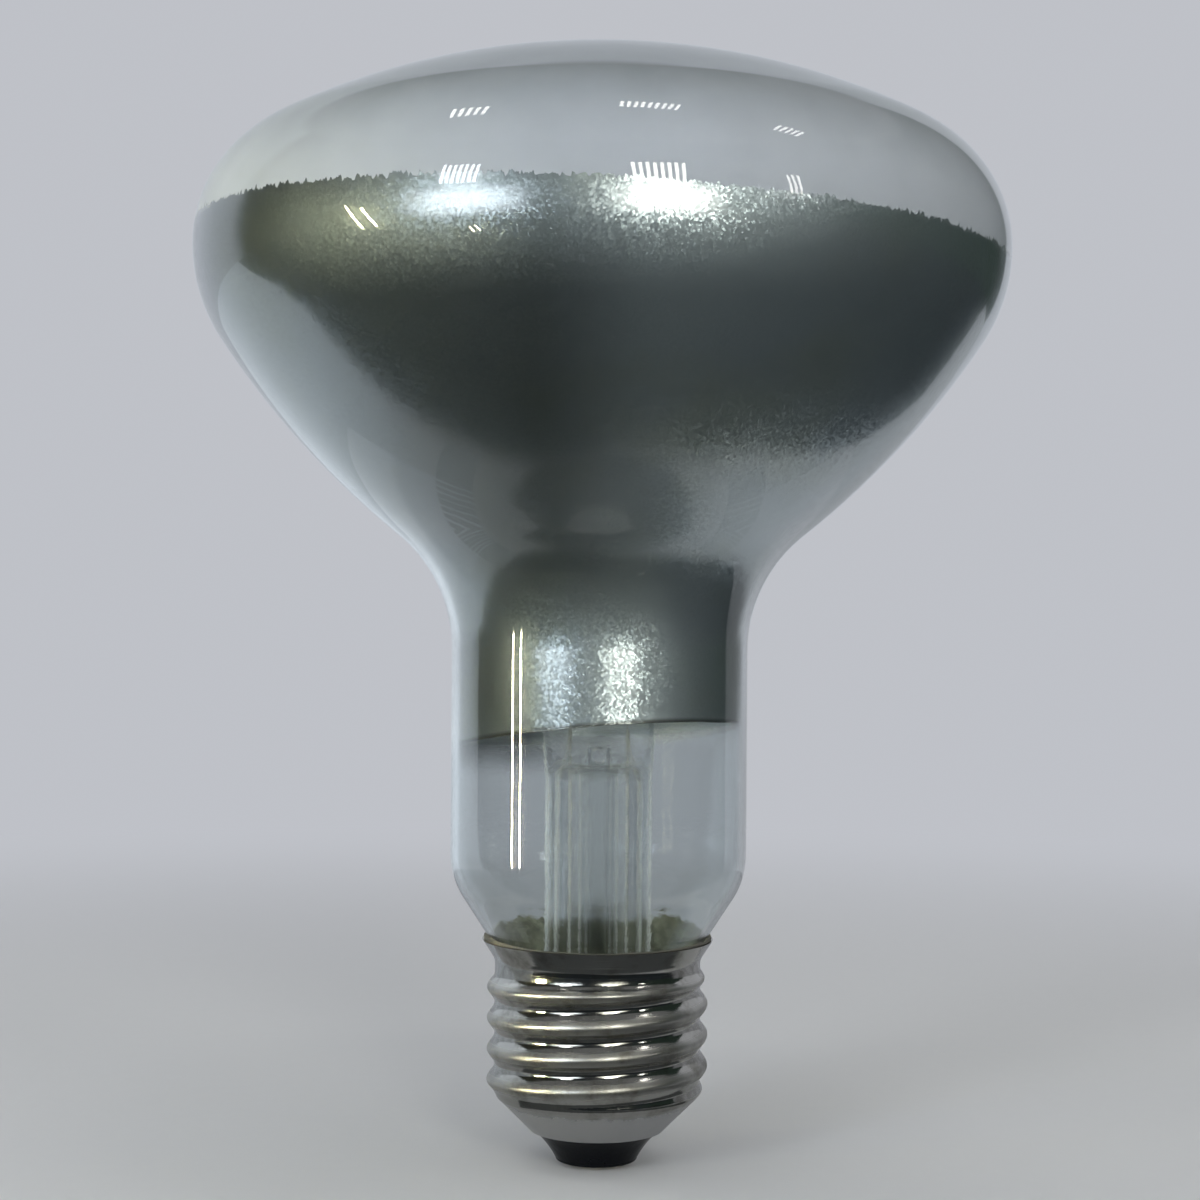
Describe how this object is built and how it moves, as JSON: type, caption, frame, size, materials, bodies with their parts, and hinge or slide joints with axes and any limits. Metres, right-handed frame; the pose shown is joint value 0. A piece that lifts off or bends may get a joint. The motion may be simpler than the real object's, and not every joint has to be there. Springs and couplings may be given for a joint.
{
  "type": "reflector bulb",
  "caption": "Reflector lamp: frosted front dome, mirrored flank, clear neck with glass stem and filament inside, and an Edison screw cap.",
  "frame": {"origin": "centre of the flat of the end contact, where the lamp meets the holder's spring", "axes": "+Z along the lamp's axis from the cap to the front dome; -Y is the side seen in the picture, with +X on its right"},
  "size_m": [0.0958, 0.0958, 0.1306],
  "materials": {
    "bulb_glass": "clear, frosted over the front dome",
    "mirror": "vapour-coated aluminium",
    "stem_glass": "clear",
    "lead_wire": "drawn",
    "support_wire": "drawn",
    "filament": "coiled wire",
    "shell_metal": "rolled, handled and dull in places",
    "cement": "rough",
    "black_glass": "moulded, glossy",
    "contact_metal": "stamped",
    "solder": "soft solder"
  },
  "bodies": {
    "root": {"glass_bulb": "bulb_glass", "mirror_coating": "mirror", "glass_stem": "stem_glass", "contact_lead_wire": "lead_wire", "shell_lead_wire": "lead_wire", "support_wire_1": "support_wire", "support_wire_2": "support_wire", "support_wire_3": "support_wire", "filament": "filament", "screw_shell": "shell_metal", "basing_cement": "cement", "glass_insulator": "black_glass", "contact_plate": "contact_metal", "contact_solder": "solder", "rim_solder": "solder"}
  },
  "joints": []
}
